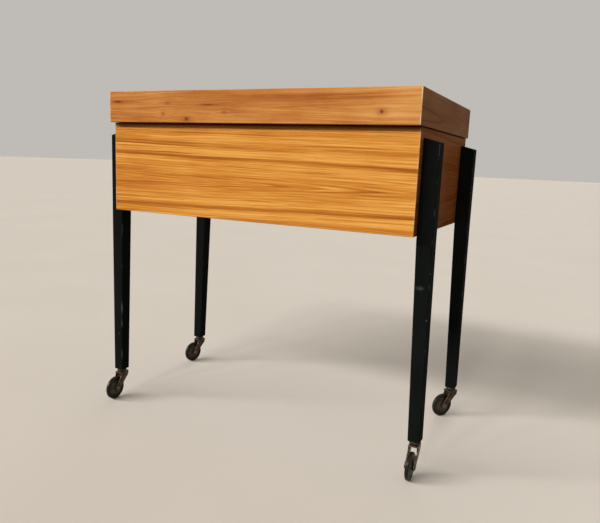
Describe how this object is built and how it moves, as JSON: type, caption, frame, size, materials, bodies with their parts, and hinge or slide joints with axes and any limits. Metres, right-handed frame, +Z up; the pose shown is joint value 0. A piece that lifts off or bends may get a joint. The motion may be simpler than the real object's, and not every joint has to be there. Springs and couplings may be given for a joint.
{
  "type": "sewing box",
  "caption": "Lidded teak-veneered sewing box with sliding inner trays, standing on tapered black legs with small swivel castors.",
  "frame": {"origin": "on the floor, under the centre of the box", "axes": "+X to the right along the box, -Y to the front, +Z up"},
  "size_m": [0.512, 0.282, 0.48],
  "materials": {
    "teak_veneer": "satin clear-varnished teak veneer, grain running left to right",
    "tray_wood": "pale planed solid wood, oiled",
    "plywood": "thin plywood, lightly sanded",
    "black_lacquer": "satin black paint on wood, worn at the edges",
    "black_metal": "black enamelled steel",
    "castor_bronze": "tarnished bronze-plated steel",
    "wheel_disc": "tarnished bronze-plated disc",
    "tyre_rubber": "hard black rubber",
    "steel": "dull plated steel",
    "hinge_brass": "aged brass",
    "felt": "dark brown felt"
  },
  "bodies": {
    "root": {"front_panel": "teak_veneer", "back_panel": "teak_veneer", "left_panel": "teak_veneer", "right_panel": "teak_veneer", "bottom_panel": "plywood", "upper_front_runner": "tray_wood", "upper_back_runner": "tray_wood", "lower_front_runner": "tray_wood", "lower_back_runner": "tray_wood", "front_left_leg": "black_lacquer", "front_right_leg": "black_lacquer", "back_left_leg": "black_lacquer", "back_right_leg": "black_lacquer", "leg_screws": "steel", "lid_buffers": "felt", "front_left_socket": "black_metal", "front_right_socket": "black_metal", "back_left_socket": "black_metal", "back_right_socket": "black_metal", "left_hinge_body_leaf": "hinge_brass", "left_hinge_pin": "steel", "right_hinge_body_leaf": "hinge_brass", "right_hinge_pin": "steel", "body_hinge_screws": "hinge_brass"},
    "lid": {"lid_top": "teak_veneer", "lid_front_apron": "teak_veneer", "lid_back_apron": "teak_veneer", "lid_left_apron": "teak_veneer", "lid_right_apron": "teak_veneer", "left_hinge_lid_leaf": "hinge_brass", "right_hinge_lid_leaf": "hinge_brass", "lid_hinge_screws": "hinge_brass"},
    "upper_tray": {"upper_tray_front": "tray_wood", "upper_tray_back": "tray_wood", "upper_tray_left_end": "tray_wood", "upper_tray_right_end": "tray_wood", "upper_tray_bottom": "plywood", "upper_tray_dividers": "tray_wood"},
    "lower_tray": {"lower_tray_front": "tray_wood", "lower_tray_back": "tray_wood", "lower_tray_left_end": "tray_wood", "lower_tray_right_end": "tray_wood", "lower_tray_bottom": "plywood", "lower_tray_dividers": "tray_wood"},
    "front_left_castor": {"front_left_fork": "castor_bronze", "front_left_axle": "steel"},
    "front_left_castor_wheel": {"front_left_wheel": "wheel_disc", "front_left_tyre": "tyre_rubber"},
    "front_right_castor": {"front_right_fork": "castor_bronze", "front_right_axle": "steel"},
    "front_right_castor_wheel": {"front_right_wheel": "wheel_disc", "front_right_tyre": "tyre_rubber"},
    "back_left_castor": {"back_left_fork": "castor_bronze", "back_left_axle": "steel"},
    "back_left_castor_wheel": {"back_left_wheel": "wheel_disc", "back_left_tyre": "tyre_rubber"},
    "back_right_castor": {"back_right_fork": "castor_bronze", "back_right_axle": "steel"},
    "back_right_castor_wheel": {"back_right_wheel": "wheel_disc", "back_right_tyre": "tyre_rubber"}
  },
  "joints": [
    {"name": "lid_hinge", "type": "hinge", "parent": "root", "child": "lid", "pos_m": [0, 0.1347, 0.4358], "axis": [-1, 0, 0], "range_deg": [0, 110]},
    {"name": "upper_tray_slide", "type": "slide", "parent": "root", "child": "upper_tray", "axis": [1, 0, 0], "range_m": [0, 0.22]},
    {"name": "lower_tray_slide", "type": "slide", "parent": "root", "child": "lower_tray", "axis": [1, 0, 0], "range_m": [0, 0.22]},
    {"name": "front_left_swivel", "type": "hinge", "parent": "root", "child": "front_left_castor", "pos_m": [-0.245, -0.107, 0.041], "axis": [0, 0, 1], "continuous": true},
    {"name": "front_left_wheel_spin", "type": "hinge", "parent": "front_left_castor", "child": "front_left_castor_wheel", "pos_m": [-0.245, -0.123, 0.018], "axis": [1, 0, 0], "continuous": true},
    {"name": "front_right_swivel", "type": "hinge", "parent": "root", "child": "front_right_castor", "pos_m": [0.245, -0.107, 0.041], "axis": [0, 0, 1], "continuous": true},
    {"name": "front_right_wheel_spin", "type": "hinge", "parent": "front_right_castor", "child": "front_right_castor_wheel", "pos_m": [0.245, -0.123, 0.018], "axis": [1, 0, 0], "continuous": true},
    {"name": "back_left_swivel", "type": "hinge", "parent": "root", "child": "back_left_castor", "pos_m": [-0.245, 0.107, 0.041], "axis": [0, 0, 1], "continuous": true},
    {"name": "back_left_wheel_spin", "type": "hinge", "parent": "back_left_castor", "child": "back_left_castor_wheel", "pos_m": [-0.24887, 0.09148, 0.018], "axis": [0.9703, -0.2419, 0], "continuous": true},
    {"name": "back_right_swivel", "type": "hinge", "parent": "root", "child": "back_right_castor", "pos_m": [0.245, 0.107, 0.041], "axis": [0, 0, 1], "continuous": true},
    {"name": "back_right_wheel_spin", "type": "hinge", "parent": "back_right_castor", "child": "back_right_castor_wheel", "pos_m": [0.23537, 0.09422, 0.018], "axis": [0.7986, -0.6018, 0], "continuous": true}
  ]
}
